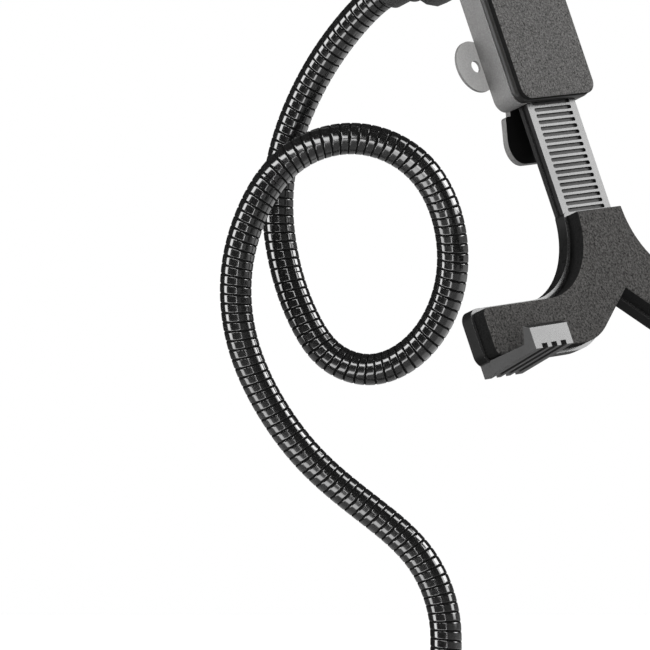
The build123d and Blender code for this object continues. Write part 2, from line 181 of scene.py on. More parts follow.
def maths(tree, operation, *values):
    """The result of a maths node whose inputs are sockets or numbers."""
    return add_node(tree, "ShaderNodeMath", dict(enumerate(values)), operation=operation)[0]


print("helpers for nodes: fill, add_node and maths")

# %% [markdown]
# A glossy black thing shows little of its own colour: it shows the room. So the room that only mirrors see is
# drawn on the world, by direction. Soft steps cut each light out of the directions around the holder, and
# masks that overlap are multiplied.

# %% The mirrored room
world = bpy.data.worlds.new("studio")
world.use_nodes = True
scene.world = world
sky = world.node_tree


def soft_step(value, low, high):
    """A mask of the room that goes softly from 0 to 1 between two values."""
    limits = {"Value": value, "From Min": low, "From Max": high}
    return add_node(sky, "ShaderNodeMapRange", limits, interpolation_type="SMOOTHSTEP")["Result"]


def overlap(*masks):
    """Where masks of the room overlap."""
    shared = masks[0]
    for mask in masks[1:]:
        shared = maths(sky, "MULTIPLY", shared, mask)
    return shared


def band(value, low, high, soft):
    """A mask of the room where a value lies between two others, with soft ends."""
    return overlap(soft_step(value, low - soft, low + soft), soft_step(value, high + soft, high - soft))


rays = add_node(sky, "ShaderNodeLightPath")
heading = add_node(sky, "ShaderNodeTexCoord")["Generated"]
across, away, up = add_node(sky, "ShaderNodeSeparateXYZ", {0: heading})
print("the room is drawn by", across.name, away.name, up.name)

# %% [markdown]
# The neck's main row of highlights stays on its left side while the neck turns through its loop. A straight
# window can't do that. A pale strip that bows round the left, from above the camera to below it, can: the
# further a direction points to the side, the further it may turn from the camera. Its lower end is dimmer.

# %% The bowed strip on the left
bow_middle = 0.1
bow_reach = 1.38
bow_curve = 1.3
bow_half_width = 0.31
bow_narrowing = 0.13
low_end_loss = 0.4
least_spread = 0.001

sideways = maths(sky, "SUBTRACT", across, bow_middle)
spread_squared = maths(sky, "ADD", maths(sky, "POWER", sideways, 2), maths(sky, "POWER", up, 2))
spread_out = maths(sky, "MAXIMUM", maths(sky, "SQRT", spread_squared), least_spread)
share = maths(sky, "DIVIDE", maths(sky, "ABSOLUTE", sideways), spread_out)
share = maths(sky, "POWER", share, bow_curve)
turned = maths(sky, "ARCCOSINE", maths(sky, "MULTIPLY", away, -1))
turned_left = maths(sky, "MULTIPLY", maths(sky, "MULTIPLY", turned, maths(sky, "SIGN", sideways)), -1)
off_bow = maths(sky, "SUBTRACT", turned_left, maths(sky, "MULTIPLY", share, bow_reach))
half_width = maths(sky, "SUBTRACT", bow_half_width, maths(sky, "MULTIPLY", share, bow_narrowing))
low_end = maths(sky, "MULTIPLY", soft_step(up, -0.15, -0.35), low_end_loss)
on_bow = band(maths(sky, "DIVIDE", off_bow, half_width), -1, 1, 0.25)
left_strip = overlap(on_bow, maths(sky, "SUBTRACT", 1.0, low_end))
print("the strip bows out to", round(math.degrees(bow_reach)), "degrees from the camera")

# %% [markdown]
# An upright window on the right and a dim table, brighter at the lower right, complete the room. The camera
# sees plain white instead, and surfaces that aren't glossy get an even soft light.

# %% The right window, the table and the white surround
right_window = overlap(
    soft_step(across, 0.45, 0.55), band(away, -0.36, 0.0, 0.05), soft_step(up, 0.02, 0.14)
)
lower = maths(sky, "SUBTRACT", maths(sky, "MULTIPLY", across, 0.25), maths(sky, "MULTIPLY", up, 0.9))
table = soft_step(lower, -0.1, 0.35)
table_glow = overlap(
    soft_step(lower, 0.2, 0.5), soft_step(away, -0.45, -0.15), soft_step(across, 0.25, 0.45)
)
dark_walls = 0.03
even_light = 0.35

room = dark_walls
for mask, strength in ((left_strip, 8.0), (right_window, 6.0), (table, 0.35), (table_glow, 0.6)):
    room = maths(sky, "ADD", maths(sky, "MULTIPLY", mask, strength), room)
white_surround = maths(sky, "MAXIMUM", rays["Is Camera Ray"], rays["Is Transmission Ray"])
not_glossy = maths(sky, "SUBTRACT", 1.0, rays["Is Glossy Ray"])
soft_light = maths(sky, "MULTIPLY", not_glossy, even_light)
mirrored_light = maths(sky, "MULTIPLY", rays["Is Glossy Ray"], room)
level = maths(sky, "MAXIMUM", white_surround, maths(sky, "ADD", soft_light, mirrored_light))
fill(sky, sky.nodes["Background"], {"Color": (1, 1, 1, 1), "Strength": level})
print(len(sky.nodes), "nodes draw the room")

# %% [markdown]
# The floor is pale and keeps the holder's shadow. To the camera it glows a little, so that it meets the white
# surround, and mirrors look through it, so that the drawn room alone shows in the gloss.

# %% The floor
floor_size = 6
floor_drop = 1 * MM
floor_glow = 0.75
bpy.ops.mesh.primitive_plane_add(size=floor_size, location=(0, 0, cad_box[0][2] - floor_drop))
floor = bpy.context.object
floor.name = "floor"
floor_material = bpy.data.materials.new("pale_floor")
floor_material.use_nodes = True
floor_net = floor_material.node_tree
to_camera = add_node(floor_net, "ShaderNodeLightPath")["Is Camera Ray"]
fill(floor_net, floor_net.nodes["Principled BSDF"], {
    "Base Color": (0.8, 0.8, 0.8, 1),
    "Roughness": 0.8,
    "Emission Color": (1, 1, 1, 1),
    "Emission Strength": maths(floor_net, "MULTIPLY", to_camera, floor_glow),
})
floor.data.materials.append(floor_material)
floor.visible_glossy = False
print("a pale floor at", round(floor.location.z, 3))

# %% [markdown]
# Two effects are shared by several finishes, so each is a node group. The first is the fine grain of moulded
# plastic: small lumps for the bump and a slow change in gloss, as from handling.

# %% Node group: moulded grain


def new_group(name, inputs, outputs):
    """A shader group with number inputs, given as name: value, and the names of its number outputs."""
    group = bpy.data.node_groups.new(name, "ShaderNodeTree")
    for label, value in inputs.items():
        socket = group.interface.new_socket(label, in_out="INPUT", socket_type="NodeSocketFloat")
        socket.default_value = value
    for label in outputs:
        group.interface.new_socket(label, in_out="OUTPUT", socket_type="NodeSocketFloat")
    return group, add_node(group, "NodeGroupInput"), add_node(group, "ShaderNodeTexCoord")["Object"]


def noise(group, scale, place, detail, roughness=0.6):
    """The value of a noise texture at a place."""
    inputs = {"Vector": place, "Scale": scale, "Detail": detail, "Roughness": roughness}
    return add_node(group, "ShaderNodeTexNoise", inputs)["Fac"]


def stretched(group, value, low=0.0, high=1.0):
    """A noise value stretched from its usual middle band to a range."""
    limits = {"Value": value, "From Min": 0.3, "From Max": 0.7, "To Min": low, "To Max": high}
    return add_node(group, "ShaderNodeMapRange", limits)["Result"]


grain, given, place = new_group(
    "moulded_grain",
    {"Grain Scale": 2500.0, "Cloud Scale": 40.0, "Smooth": 0.25, "Rough": 0.4},
    ("Height", "Roughness", "Tone"),
)
lumps = noise(grain, given["Grain Scale"], place, detail=3)
clouds = noise(grain, given["Cloud Scale"], place, detail=4)
add_node(grain, "NodeGroupOutput", {
    "Height": lumps,
    "Roughness": stretched(grain, clouds, given["Smooth"], given["Rough"]),
    "Tone": stretched(grain, lumps),
})
print("group", grain.name)

# %% [markdown]
# The second effect is the speckle of foam: cut cells that read as dark and light specks, with the round
# hollow of each cell added to the bump.

# %% Node group: foam speckle
speckle, given, place = new_group(
    "foam_speckle", {"Cell Scale": 1500.0, "Speck Scale": 2600.0, "Depth": 0.5}, ("Tone", "Height")
)
cells = {"Vector": place, "Scale": given["Cell Scale"]}
hollows = add_node(speckle, "ShaderNodeTexVoronoi", cells)["Distance"]
specks = stretched(speckle, noise(speckle, given["Speck Scale"], place, detail=2, roughness=0.8))
add_node(speckle, "NodeGroupOutput", {
    "Tone": specks,
    "Height": maths(speckle, "MULTIPLY_ADD", hollows, given["Depth"], specks),
})
print("group", speckle.name)

# %% [markdown]
# Each finish is a Principled material. What doesn't change over the surface sits on the shader's own sockets,
# and only what varies comes through a group: a tone between two colours, a gloss, a bump.

# %% A finish
bump_distance = 0.2 * MM


def finish(name, dark, light, group, values, bump, roughness=None, coat=0.0, metallic=0.0, mirror=0.5):
    """A material whose tone runs between two colours by a shared group, with that group's bump."""
    material = bpy.data.materials.new(name)
    material.use_nodes = True
    net = material.node_tree
    effect = add_node(net, "ShaderNodeGroup", values, node_tree=group)
    tones = {"Factor": effect["Tone"], "A": (*dark, 1), "B": (*light, 1)}
    lumps = {"Height": effect["Height"], "Strength": bump, "Distance": bump_distance}
    fill(net, net.nodes["Principled BSDF"], {
        "Base Color": add_node(net, "ShaderNodeMix", tones, data_type="RGBA")["Result"],
        "Roughness": effect["Roughness"] if roughness is None else roughness,
        "Normal": add_node(net, "ShaderNodeBump", lumps)["Normal"],
        "Metallic": metallic,
        "Coat Weight": coat,
        "Specular IOR Level": mirror,
    })
    return material


def grey(value, warm=0.0):
    """A grey, a little warmer or cooler."""
    return (value * (1 + warm), value, value * (1 - warm))


print("a finish bumps by up to", bump_distance / MM, "mm")

# %% [markdown]
# The neck is lacquered black, and a clear coat gives it its hard shine. Its notches are matt and painted
# darker, in a colour that barely mirrors: painted shade. The foam has a speckled skin, paler on the body
# than on the claws, and its cut sides are painted near black: partly the cut foam, partly painted shade.

# %% Finishes of the neck and the foam
neck_black = finish(
    "neck_black", grey(0.006), grey(0.009), grain,
    {"Grain Scale": 900, "Cloud Scale": 60, "Smooth": 0.12, "Rough": 0.2}, bump=0.02, coat=1.0,
)
# Painted shade: the neck's notches take this darker colour, which barely mirrors, so that they look shaded.
neck_notch_shade = finish(
    "neck_notch_shade", grey(0.003), grey(0.005), grain,
    {"Grain Scale": 900, "Cloud Scale": 60, "Smooth": 0.6, "Rough": 0.8}, bump=0.02, mirror=0.05,
)
pad_foam = finish(
    "pad_foam", grey(0.01, 0.02), grey(0.155, 0.02), speckle,
    {"Cell Scale": 1400, "Speck Scale": 1500, "Depth": 0.5}, bump=0.6, roughness=0.95, mirror=0.15,
)
claw_foam = finish(
    "claw_foam", grey(0.002, 0.03), grey(0.095, 0.03), speckle,
    {"Cell Scale": 1400, "Speck Scale": 1300, "Depth": 0.5}, bump=0.7, roughness=0.95, mirror=0.15,
)
# The foam's cut sides: near black, partly the cut foam and partly painted shade.
foam_cut_side_shade = finish(
    "foam_cut_side_shade", grey(0.004), grey(0.012), speckle,
    {"Cell Scale": 1400, "Speck Scale": 2000, "Depth": 0.4}, bump=0.5, roughness=0.95, mirror=0.05,
)
print(len(bpy.data.materials), "materials")

# %% [markdown]
# The cradle is moulded plastic. Its box is a satin grey and its jaws are nearly black. The jaws' front
# mirrors a lamp and looks pale. Their walls, the hooks and the floors of the slots get copies of the same
# plastic that mirror less, the walls and floors darker too: painted shade.

# %% Finishes of the cradle
box_grey = finish(
    "box_grey", grey(0.1, 0.01), grey(0.15, 0.01), grain,
    {"Grain Scale": 1600, "Cloud Scale": 50, "Smooth": 0.5, "Rough": 0.62}, bump=0.25, mirror=0.25,
)
# Painted light: a paler copy of the box's grey for the rear cover's faces that look to the front, the ear's
# too.
box_front_painted_light = finish(
    "box_front_painted_light", grey(0.27, 0.01), grey(0.34, 0.01), grain,
    {"Grain Scale": 1600, "Cloud Scale": 50, "Smooth": 0.5, "Rough": 0.62}, bump=0.25, mirror=0.25,
)
lip_black = finish(
    "lip_black", grey(0.012, 0.01), grey(0.02, 0.01), grain,
    {"Grain Scale": 1600, "Cloud Scale": 50, "Smooth": 0.26, "Rough": 0.34}, bump=0.1, mirror=0.16,
)
claw_black = finish(
    "claw_black", grey(0.018), grey(0.026), grain,
    {"Grain Scale": 2200, "Cloud Scale": 45, "Smooth": 0.22, "Rough": 0.3}, bump=0.06,
)
# Painted shade: a darker copy of the jaws' plastic, barely mirroring, for their walls.
claw_wall_shade = finish(
    "claw_wall_shade", grey(0.006), grey(0.01), grain,
    {"Grain Scale": 2200, "Cloud Scale": 45, "Smooth": 0.26, "Rough": 0.36}, bump=0.06, mirror=0.04,
)
# Painted shade: a copy of the jaws' plastic that mirrors less, for the grooved sides of the hooks.
hook_shade = finish(
    "hook_shade", grey(0.018), grey(0.028), grain,
    {"Grain Scale": 2200, "Cloud Scale": 45, "Smooth": 0.26, "Rough": 0.36}, bump=0.06, mirror=0.13,
)
# Painted shade: a darker copy that mirrors less, for the floors of the rack's slots.
slot_floor_shade = finish(
    "slot_floor_shade", grey(0.014), grey(0.022), grain,
    {"Grain Scale": 2200, "Cloud Scale": 45, "Smooth": 0.35, "Rough": 0.5}, bump=0.1, mirror=0.12,
)
# Painted shade: a near-black copy for the lever's faces that look to the front.
lever_front_painted_shade = finish(
    "lever_front_painted_shade", grey(0.003), grey(0.005), grain,
    {"Grain Scale": 2200, "Cloud Scale": 45, "Smooth": 0.3, "Rough": 0.4}, bump=0.05, mirror=0.1,
)
print(len(bpy.data.materials), "materials")

# %% [markdown]
# The clamp is painted metal with a bright screw, a plastic knob and rubber pads. The ball turns in a ring of
# pale nylon. The photograph doesn't show these, so they are finished as such holders usually are.

# %% Finishes of the clamp and the ball joint
knob_black = finish(
    "knob_black", grey(0.02), grey(0.035), grain,
    {"Grain Scale": 1500, "Cloud Scale": 40, "Smooth": 0.4, "Rough": 0.55}, bump=0.2,
)
clamp_paint = finish(
    "clamp_paint", grey(0.014), grey(0.022), grain,
    {"Grain Scale": 1200, "Cloud Scale": 35, "Smooth": 0.28, "Rough": 0.42}, bump=0.25, coat=0.2,
)
steel = finish(
    "bright_steel", grey(0.42), grey(0.58), grain,
    {"Grain Scale": 1800, "Cloud Scale": 80, "Smooth": 0.2, "Rough": 0.38}, bump=0.08, metallic=1.0,
)
grip_rubber = finish(
    "grip_rubber", grey(0.018), grey(0.03), grain,
    {"Grain Scale": 1400, "Cloud Scale": 60, "Smooth": 0.7, "Rough": 0.85}, bump=0.4,
)
ring_nylon = finish(
    "ring_nylon", grey(0.45), grey(0.52), grain,
    {"Grain Scale": 2000, "Cloud Scale": 60, "Smooth": 0.4, "Rough": 0.5}, bump=0.05,
)
print(len(bpy.data.materials), "materials")

# %% [markdown]
# A solid from CAD has knife edges, and a real moulding never does: its rounded edges catch the light as thin
# bright lines. Each rigid piece is therefore copied and its loose triangles are joined up into flat areas.
# A flat area with many holes shades badly, so a piece can be cut along the cradle's middle first, and
# the marked cut keeps its two halves apart.

# %% A joined copy of a solid
body_of_node = {node: body for body, held in frame["record"]["behaviour"]["bodies"].items() for node in held}
flat_angle = math.radians(0.5)


def joined_copy(node, halved=False):
    """The solid's mesh with its flat areas merged and its place kept, cut in two halves if asked."""
    mesh = bmesh.new()
    mesh.from_mesh(nodes[node].data)
    mesh.transform(nodes[node].matrix_world)
    bmesh.ops.remove_doubles(mesh, verts=mesh.verts, dist=1e-6)
    if halved:
        whole = [*mesh.verts, *mesh.edges, *mesh.faces]
        cut = bmesh.ops.bisect_plane(mesh, geom=whole, dist=1e-7, plane_co=ball_centre, plane_no=to_right)
        for edge in cut["geom_cut"]:
            if isinstance(edge, bmesh.types.BMEdge):
                edge.seam = True
    bmesh.ops.dissolve_limit(
        mesh, angle_limit=flat_angle, verts=mesh.verts, edges=mesh.edges, delimit={"SEAM"}
    )
    data = bpy.data.meshes.new(node + "_dressed")
    mesh.to_mesh(data)
    mesh.free()
    piece = bpy.data.objects.new(node + "_dressed", data)
    scene.collection.objects.link(piece)
    return piece


def stand_for(piece, node):
    """Makes a piece stand for its solid and ride on the solid's body."""
    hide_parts(node)
    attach(piece, body_of_node[node])


# %% [markdown]
# Roundness comes in two ways. A Bevel modifier rounds every edge that is sharper than an angle, all by one
# width. Where a piece has wider roundings too, bmesh bevels those edges before, picked by a test.

# %% Round edges
sharp_angle = math.radians(35)


def round_edges(piece, chosen, width, segments=3):
    """Rounds those edges of a piece that a test picks out, by a width in millimetres."""
    mesh = bmesh.new()
    mesh.from_mesh(piece.data)
    picked = [edge for edge in mesh.edges if len(edge.link_faces) == 2 and chosen(edge)]
    bmesh.ops.bevel(
        mesh, geom=picked, offset=width * MM, segments=segments, profile=0.5, affect="EDGES",
        clamp_overlap=True,
    )
    mesh.to_mesh(piece.data)
    mesh.free()
    return len(picked)


def soften(piece, width):
    """Rounds every sharp edge that is left, evens the shading and turns the piece into a plain mesh."""
    piece.data.shade_smooth()
    piece.data.set_sharp_from_angle(angle=sharp_angle)
    bevel = piece.modifiers.new("round edges", "BEVEL")
    bevel.width = width * MM
    bevel.segments = 2
    bevel.limit_method = "ANGLE"
    bevel.angle_limit = sharp_angle
    bevel.use_clamp_overlap = True
    piece.modifiers.new("even shading", "WEIGHTED_NORMAL")
    graph = bpy.context.evaluated_depsgraph_get()
    made = bpy.data.meshes.new_from_object(piece.evaluated_get(graph))
    piece.modifiers.clear()
    piece.data = made


print("edges over", round(math.degrees(sharp_angle)), "degrees are rounded")

# %% [markdown]
# Most rigid pieces need one rounding and one finish, so a table and a loop dress them. The lever and the
# box then get a second material on the faces that look to the front: near black on the lever, as painted
# shade, and a paler grey on the rear cover and its ear, as painted light.

# %% The rigid pieces


def set_materials(piece, *materials):
    """Gives a piece its material slots, in order."""
    piece.data.materials.clear()
    for material in materials:
        piece.data.materials.append(material)


def paint_front(piece, least):
    """Gives the second slot to faces that look to the cradle's front by at least a share, else the first."""
    for face in piece.data.polygons:
        face.material_index = 1 if face.normal.dot(to_front) > least else 0


rigid = {
    "clamp_frame": (0.8, clamp_paint),
    "neck_foot": (0.5, clamp_paint),
    "pressure_disc": (0.6, clamp_paint),
    "clamp_knob": (1.0, knob_black),
    "neck_collar": (0.4, knob_black),
    "ball_stud": (0.2, steel),
    "ball_liner": (0.2, ring_nylon),
    "lock_nut": (0.5, knob_black),
    "rear_cover": (0.45, box_grey),
    "release_lever": (0.4, box_grey),
    "lever_pin": (0.15, steel),
    "seat_pad": (0.4, grip_rubber),
    "disc_pad": (0.4, grip_rubber),
}
# On front faces, a second material: painted shade on the lever, painted light on the rear cover.
front_light_and_shade = {"release_lever": (lever_front_painted_shade, 0.7), "rear_cover": (box_front_painted_light, 0.9)}
for node, (width, material) in rigid.items():
    piece = joined_copy(node)
    set_materials(piece, material)
    soften(piece, width)
    stand_for(piece, node)
    if node in front_light_and_shade:
        second, least = front_light_and_shade[node]
        piece.data.materials.append(second)
        paint_front(piece, least)
    print(node, len(piece.data.polygons), "faces")

# %% [markdown]
# The front cover's front edge is a soft lip, while the groove behind it stays crisp. The jaws have a round
# back edge and a round rim, and their rack has small slots with round ends. Such edges are told by the way
# their two faces look, 1 straight to the front and 0 to a side, and by their place on the cradle.

# %% Edges of the front cover and the jaws
straight_on = 0.99
facing = 0.9
half_turned = 0.5
side_on = 0.3
rack_level = 24.2
rim_rise = 0.15
slot_depth = 0.9
slot_half_length = 10.1
near = 0.05
lip_round = 1.6
fine_round = 0.12


def leans(edge):
    """How far the two faces at an edge look to the cradle's front, the smaller first."""
    return sorted(face.normal.dot(to_front) for face in edge.link_faces)


def edge_place(edge):
    """Where the middle of an edge is on the cradle, in millimetres."""
    return on_cradle((edge.verts[0].co + edge.verts[1].co) / 2)


def front_edge(edge):
    """An outer edge of a face that looks to the front."""
    low, high = leans(edge)
    return high > facing and low < half_turned


def back_edge(edge):
    """An outer edge of a face that looks to the back."""
    low, high = leans(edge)
    return low < -facing and abs(high) < side_on


def rim_edge(edge):
    """A front edge of the claw that stands out past the rack's face."""
    return front_edge(edge) and edge_place(edge)[2] > rack_level + rim_rise


def slot_corner(edge):
    """A short edge in the corner of a slot, square to the rack's face."""
    arm = edge.verts[1].co - edge.verts[0].co
    square = abs(arm.normalized().dot(to_front)) > straight_on
    at_end = abs(abs(edge_place(edge)[0]) - slot_half_length) < near
    return square and at_end and abs(arm.length / MM - slot_depth) < near


cover = joined_copy("front_cover")
set_materials(cover, lip_black)
lip_edges = round_edges(cover, front_edge, lip_round, segments=4)
soften(cover, fine_round)
stand_for(cover, "front_cover")
print("front_cover", len(cover.data.polygons), "faces,", lip_edges, "edges in its lip")

# %% [markdown]
# Each jaw is one moulding, but its faces catch the light in four ways: the front, the walls, the floors of
# the rack's slots and the grooved sides of the hooks. One finish for each is set face by face, by the way
# the face looks and by its place. Those of the walls, the slot floors and the hooks are painted shade.

# %% The jaws
slots_low = -106
hook_inner = 57.0
hook_outer = 77.5
hook_depth = 5.7
wall_lean = 0.2
slot_round = 0.6
back_round = 1.0
rim_round = 0.45
wall, front_face, in_slot, on_hook = range(4)


def jaw_slot(face, outward, far_end):
    """The material slot of a face of a jaw, whose hooks are at its far end, outward of the ball."""
    right, up, forward = on_cradle(face.center)
    at_slot_floor = abs(forward - rack_level + slot_depth) < 2 * near
    if at_slot_floor and abs(right) < slot_half_length and slots_low < up < 0:
        return in_slot
    if abs(face.normal.dot(to_front)) > wall_lean:
        return front_face
    at_hook = hook_inner < abs(right) < hook_outer and outward * up > far_end - hook_depth
    return on_hook if at_hook else wall


for node, outward in (("lower_jaw", -1), ("upper_jaw", 1)):
    jaw = joined_copy(node, halved=True)
    # Walls, slot floors and hooks take the shaded copies of the plastic: painted shade.
    set_materials(jaw, claw_wall_shade, claw_black, slot_floor_shade, hook_shade)
    corners = round_edges(jaw, slot_corner, slot_round)
    round_edges(jaw, back_edge, back_round)
    round_edges(jaw, rim_edge, rim_round)
    soften(jaw, fine_round)
    far_end = max(outward * on_cradle(corner.co)[1] for corner in jaw.data.vertices)
    for face in jaw.data.polygons:
        face.material_index = jaw_slot(face, outward, far_end)
    stand_for(jaw, node)
    print(node, len(jaw.data.polygons), "faces,", corners, "slot corners")

# %% [markdown]
# The neck is a flexible tube wound from strip: rounded turns with sharp notches between them, which climb
# as a spiral. Shape by rule suits Geometry Nodes: a tube is swept along the neck's line, and each of its
# points moves in by where it stands along the line and around it. The same tree, on a straight
# line with a deeper notch, makes the thread of the clamp screw. First come the tree's inputs.

# %% Tree: what a wound rod is given
rod = bpy.data.node_groups.new("wound_rod", "GeometryNodeTree")
rod_inputs = (
    ("Line", "Geometry", None),
    ("Start", "Float", 0.0),
    ("End", "Float", 0.1),
    ("Radius", "Float", 0.006),
    ("Notch Depth", "Float", 0.0005),
    ("Turn Pitch", "Float", 0.003),
    ("Flank", "Float", 0.5),
    ("Step", "Float", 0.0003),
    ("Sides", "Int", 28),
    ("Finish", "Material", None),
    ("Notch Finish", "Material", None),
)
for label, kind, value in rod_inputs:
    socket = rod.interface.new_socket(label, in_out="INPUT", socket_type="NodeSocket" + kind)
    if value is not None:
        socket.default_value = value
rod.interface.new_socket("Rod", in_out="OUTPUT", socket_type="NodeSocketGeometry")
socket_of = {item.name: item.identifier for item in rod.interface.items_tree if item.in_out == "INPUT"}
given = add_node(rod, "NodeGroupInput")
print("tree", rod.name, list(socket_of))

# %% [markdown]
# The line is trimmed to the piece and cut into rings, and a circle is swept along it. Each point of the tube
# must later know how far along and how far around it is. Capture Attribute notes both on the line and the
# circle, before the sweep loses them. Trim Curve's ends by length are its fifth and sixth inputs.

# %% Tree: the swept tube
trim_start, trim_end = 4, 5


def captured(geometry, **fields):
    """A geometry that carries the values its fields have here."""
    node = rod.nodes.new("GeometryNodeCaptureAttribute")
    for label, field in fields.items():
        node.capture_items.new("VECTOR" if field.type == "VECTOR" else "FLOAT", label)
    fill(rod, node, {"Geometry": geometry, **fields})
    return node.outputs


part_line = add_node(
    rod, "GeometryNodeTrimCurve",
    {"Curve": given["Line"], trim_start: given["Start"], trim_end: given["End"]}, mode="LENGTH",
)["Curve"]
rings = add_node(
    rod, "GeometryNodeResampleCurve", {"Curve": part_line, "Length": given["Step"]}, mode="LENGTH"
)["Curve"]
line = captured(
    rings,
    along=add_node(rod, "GeometryNodeSplineParameter")["Length"],
    centre=add_node(rod, "GeometryNodeInputPosition")["Position"],
)
circle = captured(
    add_node(
        rod, "GeometryNodeCurvePrimitiveCircle", {"Resolution": given["Sides"], "Radius": given["Radius"]}
    )["Curve"],
    around=add_node(rod, "GeometryNodeSplineParameter")["Factor"],
)
sweep = {"Curve": line["Geometry"], "Profile Curve": circle["Geometry"], "Fill Caps": True}
tube = add_node(rod, "GeometryNodeCurveToMesh", sweep)["Mesh"]
print(len(rod.nodes), "nodes sweep the tube")

# %% [markdown]
# The distance along, counted in turns, and the share of the way around add up to a number that is whole in
# each notch. The sine of as many half circles is zero there, so a soft step on its size gives a notch with
# sloping flanks, and the points move towards the line by the notch's depth.

# %% Tree: the spiral notch
distance = maths(rod, "ADD", line["along"], given["Start"])
turns = maths(rod, "ADD", maths(rod, "DIVIDE", distance, given["Turn Pitch"]), circle["around"])
swell = maths(rod, "ABSOLUTE", maths(rod, "SINE", maths(rod, "MULTIPLY", turns, math.pi)))
inward = add_node(
    rod, "ShaderNodeMapRange",
    {"Value": swell, "From Max": given["Flank"], "To Min": -1.0, "To Max": 0.0},
    interpolation_type="SMOOTHSTEP",
)["Result"]


def vectors(operation, inputs):
    """The vector that a vector maths node of the tree puts out."""
    return add_node(rod, "ShaderNodeVectorMath", inputs, operation=operation)["Vector"]


here = add_node(rod, "GeometryNodeInputPosition")["Position"]
from_line = vectors("NORMALIZE", {0: vectors("SUBTRACT", {0: here, 1: line["centre"]})})
shift = vectors("SCALE", {0: from_line, "Scale": maths(rod, "MULTIPLY", inward, given["Notch Depth"])})
notched = add_node(rod, "GeometryNodeSetPosition", {"Geometry": tube, "Offset": shift})["Geometry"]
print(len(rod.nodes), "nodes cut the notch")

# %% [markdown]
# Polished flanks would mirror every lamp as bright rings, and the real notches are dull. So the tree paints
# twice: the whole rod, and then the faces whose points lie deep enough in a notch. On the neck the second
# finish is painted shade: a darker colour that barely mirrors.

# %% Tree: the finishes
notch_starts = -0.12
smooth = add_node(rod, "GeometryNodeSetShadeSmooth", {"Geometry": notched})["Geometry"]
real = add_node(rod, "GeometryNodeRealizeInstances", {"Geometry": smooth})["Geometry"]
all_over = {"Geometry": real, "Material": given["Finish"]}
painted = add_node(rod, "GeometryNodeSetMaterial", all_over)["Geometry"]
depth = add_node(rod, "GeometryNodeFieldOnDomain", {"Value": inward}, domain="POINT")["Value"]
deep = add_node(rod, "FunctionNodeCompare", {"A": depth, "B": notch_starts}, operation="LESS_THAN")["Result"]
# On the neck this second finish is painted shade in the notches.
dull_notch = {"Geometry": painted, "Selection": deep, "Material": given["Notch Finish"]}
add_node(rod, "NodeGroupOutput", {"Rod": add_node(rod, "GeometryNodeSetMaterial", dull_notch)["Geometry"]})
print(len(rod.nodes), "nodes in all")

# %% [markdown]
# A rod needs a line. It is a Bezier curve whose handles follow from a slope at each point, a third of the way
# to the next one. The tree then runs as a modifier on the curve, and its result is kept as a plain mesh.

# %% A line and a rod
steps_between_points = 64


def line_curve(name, points, slopes):
    """A curve through points, with the slope that it has at each."""
    data = bpy.data.curves.new(name, "CURVE")
    data.dimensions = "3D"
    data.resolution_u = steps_between_points
    spline = data.splines.new("BEZIER")
    spline.bezier_points.add(len(points) - 1)
    thirds = [(high - low).length / 3 for low, high in zip(points, points[1:])]
    for knot, point, slope, before, after in zip(
        spline.bezier_points, points, slopes, thirds[:1] + thirds, thirds + thirds[-1:]
    ):
        knot.handle_left_type = "FREE"
        knot.handle_right_type = "FREE"
        knot.co = point
        knot.handle_left = point - slope * before
        knot.handle_right = point + slope * after
    return data


def wound_piece(name, curve, sizes, material, notch_material):
    """A plain mesh made by the wound rod tree along a curve."""
    carrier = bpy.data.objects.new(name + "_line", curve)
    scene.collection.objects.link(carrier)
    modifier = carrier.modifiers.new("wound", "NODES")
    modifier.node_group = rod
    for label, value in {**sizes, "Finish": material, "Notch Finish": notch_material}.items():
        modifier[socket_of[label]] = value
    graph = bpy.context.evaluated_depsgraph_get()
    graph.update()
    data = bpy.data.meshes.new_from_object(carrier.evaluated_get(graph))
    data.name = name
    piece = bpy.data.objects.new(name, data)
    scene.collection.objects.link(piece)
    bpy.data.objects.remove(carrier)
    return piece


print("a line has", steps_between_points, "steps between two points")

# %% [markdown]
# The neck leaves the foot straight, sways through its loop and runs straight into the collar behind the ball.
# The points of the sway are the ones that the solid neck has. For the same line, the slopes are worked out
# so that the bending never jumps at a point: that is one equation for each point, solved together.

# %% The neck's line
foot_floor_height = 16
foot_straight_end = 40
collar_end = 30
collar_inner_end = 21.5
sway = (
    (-9, 0, 69), (-28, 0, 87), (-48, -1, 104), (-64, -2, 125), (-74, -3, 148), (-76, -4, 175),
    (-70, -5, 196), (-57, -5, 214), (-33, -4, 222), (-10, -2, 212), (1.5, 1, 189), (0, 5, 163),
    (-15.5, 8.5, 142), (-28, 10.3, 138), (-42, 11.7, 143), (-51, 12.5, 155), (-59.5, 13.5, 180),
    (-61, 13, 206), (-54.5, 10.5, 231), (-46, 6.5, 248), (-36, 0.5, 262),
)
up_the_foot = Vector((0, 0, 1))


def even_slopes(points, first, last):
    """The slopes of a curve through points whose bending has no jumps, with given slopes at its ends."""
    gaps = [(high - low).length for low, high in zip(points, points[1:])]
    balance = np.eye(len(points))
    pull = np.zeros((len(points), 3))
    pull[0] = first
    pull[-1] = last
    for i, (before, after) in enumerate(zip(gaps, gaps[1:]), start=1):
        balance[i, i - 1 : i + 2] = (1 / before, 2 / before + 2 / after, 1 / after)
        pull[i] = 3 * ((points[i] - points[i - 1]) / before**2 + (points[i + 1] - points[i]) / after**2)
    return [Vector(slope) for slope in np.linalg.solve(balance, pull)]


bent = [up_the_foot * foot_straight_end * MM]
bent += [Vector(point) * MM for point in sway]
bent += [ball_centre - to_front * collar_end * MM]
neck_points = [up_the_foot * foot_floor_height * MM, *bent, ball_centre - to_front * collar_inner_end * MM]
neck_slopes = [up_the_foot, *even_slopes(bent, up_the_foot, to_front), to_front]
neck_line = line_curve("neck_line", neck_points, neck_slopes)

